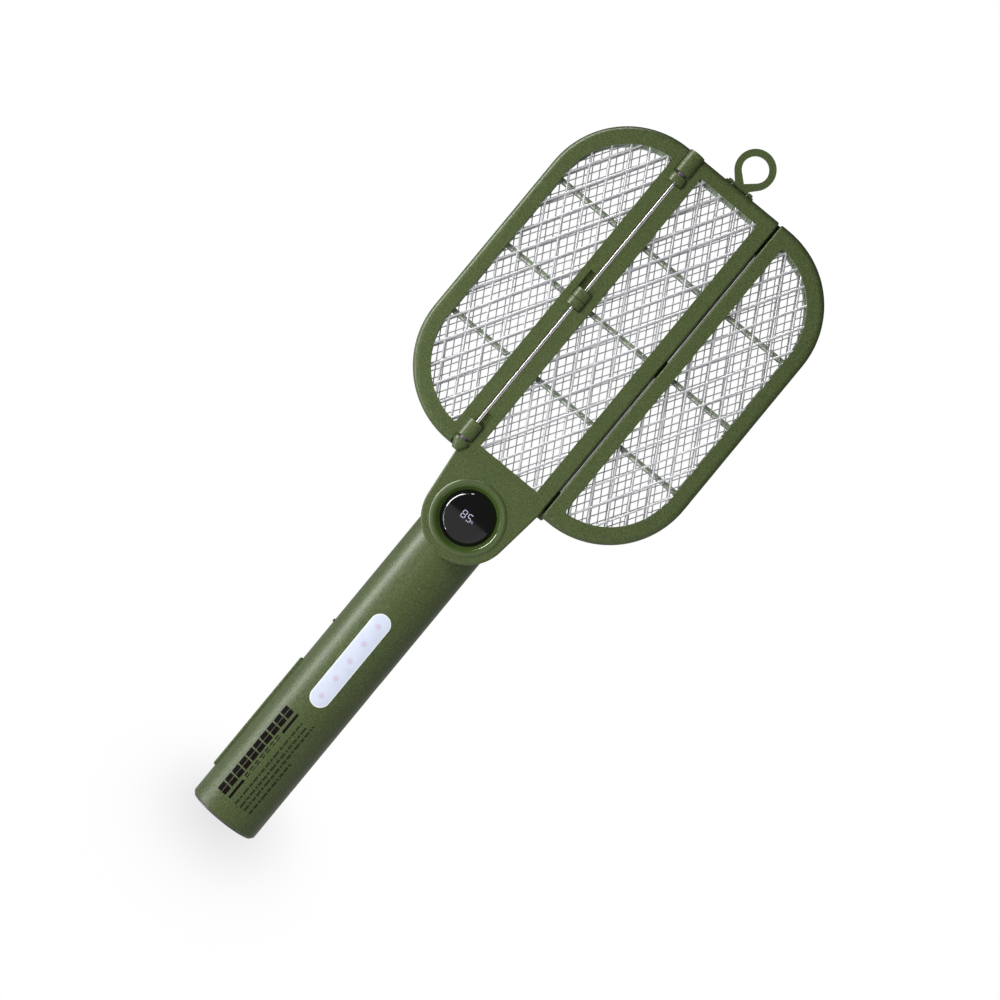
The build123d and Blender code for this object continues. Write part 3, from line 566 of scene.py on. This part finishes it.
def add_display(material):
    """Charge level of the battery: two digits and a small percent mark."""
    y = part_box("display_lens")[0].y / MM - PROUD
    parts = []
    for left, lit in DIGITS:
        for name in lit:
            across, up, flat = SEGMENTS[name]
            half_l = DIGIT_W / 2 - FLAT_GAP if flat else DIGIT_H / 4 - TALL_GAP
            x = left + across * DIGIT_W + SEGMENT_HALF_W
            z = DIGIT_LOW_Z + up * DIGIT_H / 2
            parts.append(segment_plate(x, z, half_l, SEGMENT_HALF_W, y, flat))
    turns = [math.tau * side / DOT_SIDES for side in range(DOT_SIDES)]
    for x, z in PERCENT_DOTS:
        dot = [(x + DOT_R * math.cos(turn), y, z + DOT_R * math.sin(turn)) for turn in turns]
        parts.append((dot, [list(range(DOT_SIDES))]))
    parts.append(([(x, y, z) for x, z in PERCENT_BAR], [[0, 1, 2, 3]]))
    vertices, faces = merge(parts)
    add_piece("display_digits", vertices, faces, "head", material, smooth=False)


INK_PROUD = 0.03                # ink stands this far off the handle
PATCH_STEP = 0.6                # width of a patch's facets


def tube_patch(left, right, low, high):
    """A printed patch on the handle between two positions across the front and two heights."""
    radius = HANDLE_R + INK_PROUD
    steps = max(2, int((right - left) / PATCH_STEP))
    vertices = []
    for z in (low, high):
        for step in range(steps + 1):
            x = left + (right - left) * step / steps
            vertices.append((x, -math.sqrt(radius * radius - x * x), z))
    faces = [[i, i + 1, steps + 2 + i, steps + 1 + i] for i in range(steps)]
    return vertices, faces


# Printed marks, in millimetres: x across the front of the handle, z up it
BLOCK_COLUMNS = ((-11.0, -8.5), (-8.1, -5.6))
BLOCK_COUNT = 10
BLOCK_PITCH = 5.64
BLOCK_H = 4.8
PRINT_LOW_Z = 12.0
BAR_X = (-3.9, -2.5)
BAR_SPANS = ((12.2, 24.2), (55.5, 67.9))
TICK_COUNT = 7
TICK_LOW_Z = 26.0
TICK_PITCH = 4.1
TICK_H = 2.7
TICK_STEP = 0.6                 # every other right-hand tick starts this much higher
LEFT_TICK_X = (-4.4, -3.8)
RIGHT_TICK_X = (-3.1, -2.6)
DASH_ROWS = ((0.8, 65.9), (3.9, 65.5), (6.6, 68.1), (9.7, 45.5))      # left edge and top of each row
DASH_LENGTHS = (3.1, 1.6, 4.4, 2.2, 3.6, 1.1, 2.8)
DASH_W = 1.05
DASH_GAP = 0.8
DASH_SHIFT = 2                  # each row starts this many lengths further on


def bold_marks():
    """A column of divided blocks, two bars and a double row of ticks."""
    marks = []
    for index in range(BLOCK_COUNT):
        low = PRINT_LOW_Z + index * BLOCK_PITCH
        marks += [tube_patch(left, right, low, low + BLOCK_H) for left, right in BLOCK_COLUMNS]
    marks += [tube_patch(*BAR_X, low, high) for low, high in BAR_SPANS]
    for index in range(TICK_COUNT):
        low = TICK_LOW_Z + index * TICK_PITCH
        marks.append(tube_patch(*LEFT_TICK_X, low, low + TICK_H))
        marks.append(tube_patch(*RIGHT_TICK_X, low + TICK_STEP * (index % 2), low + TICK_H))
    return merge(marks)


def dash_rows():
    """Rows of dashes of varied length."""
    dashes = []
    for row, (left, high) in enumerate(DASH_ROWS):
        z = PRINT_LOW_Z
        index = row * DASH_SHIFT
        while z < high:
            stop = min(z + DASH_LENGTHS[index % len(DASH_LENGTHS)], high)
            dashes.append(tube_patch(left, left + DASH_W, z, stop))
            z = stop + DASH_GAP
            index += 1
    return merge(dashes)


def add_print(bold_ink, fine_ink):
    """Generic block marks and rows of dashes in place of lettering."""
    prints = (("printed_marks", bold_marks(), bold_ink),
              ("printed_rows", dash_rows(), fine_ink))
    for name, (vertices, faces), ink in prints:
        add_piece(name, vertices, faces, "handle", ink, smooth=False)


# ---- stage -------------------------------------------------------------------------------------
FLOOR_HALF = 60.0
FLOOR_DROP = 0.0002             # keeps the floor just clear of the foot
# Painted shadow on the floor: where it lies, how far it spreads and how deep it is
SHADOW_MIDDLE = (0.0, 0.015)
SHADOW_SPREAD = (0.0234, 0.115)
SHADOW_DEPTH = 0.225            # share of light lost at its middle


def add_floor():
    """Pale seamless floor: it dims the white studio seen through it in a painted soft contact shadow."""
    mesh = bpy.data.meshes.new("floor")
    corners = [(x * FLOOR_HALF, y * FLOOR_HALF, 0) for x, y in ((-1, -1), (1, -1), (1, 1), (-1, 1))]
    mesh.from_pydata(corners, [], [(0, 1, 2, 3)])
    floor = bpy.data.objects.new("floor", mesh)
    bpy.context.scene.collection.objects.link(floor)
    material = bpy.data.materials.new("floor_white_painted_shadow")
    material.use_nodes = True
    tree = material.node_tree
    tree.nodes.clear()
    output = tree.nodes.new("ShaderNodeOutputMaterial")
    tint = tree.nodes.new("ShaderNodeBsdfTransparent")
    tree.links.new(tint.outputs["BSDF"], output.inputs["Surface"])
    # Painted shadow: a soft darkening around the foot, fixed in the floor's own coordinates
    terms = []
    for axis, middle, spread in zip("XY", SHADOW_MIDDLE, SHADOW_SPREAD):
        offset = compute(tree, "MULTIPLY_ADD", axis_value(tree, axis), MM / spread, -middle / spread)
        terms.append(compute(tree, "MULTIPLY", offset, offset))
    falloff = compute(tree, "EXPONENT", compute(tree, "MULTIPLY", compute(tree, "ADD", *terms), -0.5))
    shade = compute(tree, "MULTIPLY_ADD", falloff, -SHADOW_DEPTH, 1.0)
    tree.links.new(shade, tint.inputs["Color"])
    mesh.materials.append(material)
    floor.visible_glossy = False
    floor.visible_diffuse = False
    floor.visible_transmission = False
    floor.visible_shadow = False
    floor.location.z = -FLOOR_DROP


HORIZON = 0.0004                # the studio's walls change from dark to pale within this, around level
STUDIO_BELOW = 0.45
STUDIO_ABOVE = 0.08
STUDIO_RIGHT = 1.15             # gain of the right-hand side, full from RIGHT_FROM on
RIGHT_FROM = 0.7


def add_world():
    """White to the camera; to the object it is a studio that is pale below the horizon and dark above."""
    world = bpy.data.worlds.new("studio")
    bpy.context.scene.world = world
    world.use_nodes = True
    tree = world.node_tree
    tree.nodes.clear()
    output = tree.nodes.new("ShaderNodeOutputWorld")
    coords = tree.nodes.new("ShaderNodeTexCoord")
    split = tree.nodes.new("ShaderNodeSeparateXYZ")
    tree.links.new(coords.outputs["Generated"], split.inputs["Vector"])
    level = remap(tree, split.outputs["Z"], STUDIO_BELOW, STUDIO_ABOVE, -HORIZON, HORIZON)
    side = remap(tree, split.outputs["X"], 1.0, STUDIO_RIGHT, 0.0, RIGHT_FROM)
    studio = tree.nodes.new("ShaderNodeBackground")
    white = tree.nodes.new("ShaderNodeBackground")
    for background in (studio, white):
        background.inputs["Color"].default_value = (1.0, 1.0, 1.0, 1.0)
    tree.links.new(compute(tree, "MULTIPLY", level, side), studio.inputs["Strength"])
    path = tree.nodes.new("ShaderNodeLightPath")
    mix = tree.nodes.new("ShaderNodeMixShader")
    tree.links.new(path.outputs["Is Camera Ray"], mix.inputs["Fac"])
    tree.links.new(studio.outputs["Background"], mix.inputs[1])
    tree.links.new(white.outputs["Background"], mix.inputs[2])
    tree.links.new(mix.outputs["Shader"], output.inputs["Surface"])


def add_light(name, at, towards, width, height, watts):
    """A rectangular lamp that the camera doesn't see."""
    light = bpy.data.lights.new(name, "AREA")
    light.shape = "RECTANGLE"
    light.size = width
    light.size_y = height
    light.energy = watts
    item = bpy.data.objects.new(name, light)
    bpy.context.scene.collection.objects.link(item)
    item.location = at
    item.rotation_euler = (Vector(towards) - Vector(at)).to_track_quat("-Z", "Y").to_euler()
    item.visible_camera = False
    return item


STRIP_X = -1.5
STRIP_Y = -0.32
# Strip lamps: name, lower end, upper end, width, radiance
STRIPS = (("upper_core", -0.05, 3.4, 0.36, 19.0),
          ("lower_core", -3.1, -0.05, 0.36, 17.0),
          ("upper_soft", -0.05, 3.0, 0.55, 1.6),
          ("lower_soft", -2.5, -0.05, 0.55, 0.8))
# Square lamps for soft light: name, place, size, watts
SOFT_LAMPS = (("left_key", (-1.4, -0.3, 0.25), 0.8, 5.0),
              ("left_fill", (-0.3, -0.62, 0.18), 0.3, 3.4),
              ("back_fill", (0.7, 1.6, 0.9), 1.0, 14.0))
SOFT_LAMPS_TOWARDS = (0, 0, 0.25)


def add_strip(name, low, high, width, radiance):
    """A tall strip lamp on the left that shows only in reflections."""
    middle = (low + high) / 2
    watts = radiance * math.pi * width * (high - low)
    strip = add_light(name, (STRIP_X, STRIP_Y, middle), (0, 0, middle), width, high - low, watts)
    strip.visible_diffuse = False


def add_lights():
    """Strips give the highlights, soft lamps the light on the surfaces."""
    for name, low, high, width, radiance in STRIPS:
        add_strip(name, low, high, width, radiance)
    for name, at, size, watts in SOFT_LAMPS:
        lamp = add_light(name, at, SOFT_LAMPS_TOWARDS, size, size, watts)
        lamp.visible_glossy = False


# ---- the scene ---------------------------------------------------------------------------------
add_camera()
materials = add_materials()
add_grilles(materials)
# Pale beads: painted highlight on the lower edge of the rear cross bars
add_rib_highlight_beads(plastic("painted_highlight_beads", (0.72, 0.76, 0.68), (0.82, 0.86, 0.78), 0.3))
add_display(glowing("display_marks", (0.44, 0.44, 0.58), 0.42))
add_print(plastic("ink_black", (0.006, 0.003, 0.004), (0.011, 0.007, 0.008), 0.6, specular=0.03),
          plastic("ink_fine", (0.022, 0.030, 0.012), (0.030, 0.040, 0.016), 0.6, specular=0.15))
add_floor()
add_world()
add_lights()
bpy.context.scene.view_settings.view_transform = "Standard"

bpy.context.view_layer.update()
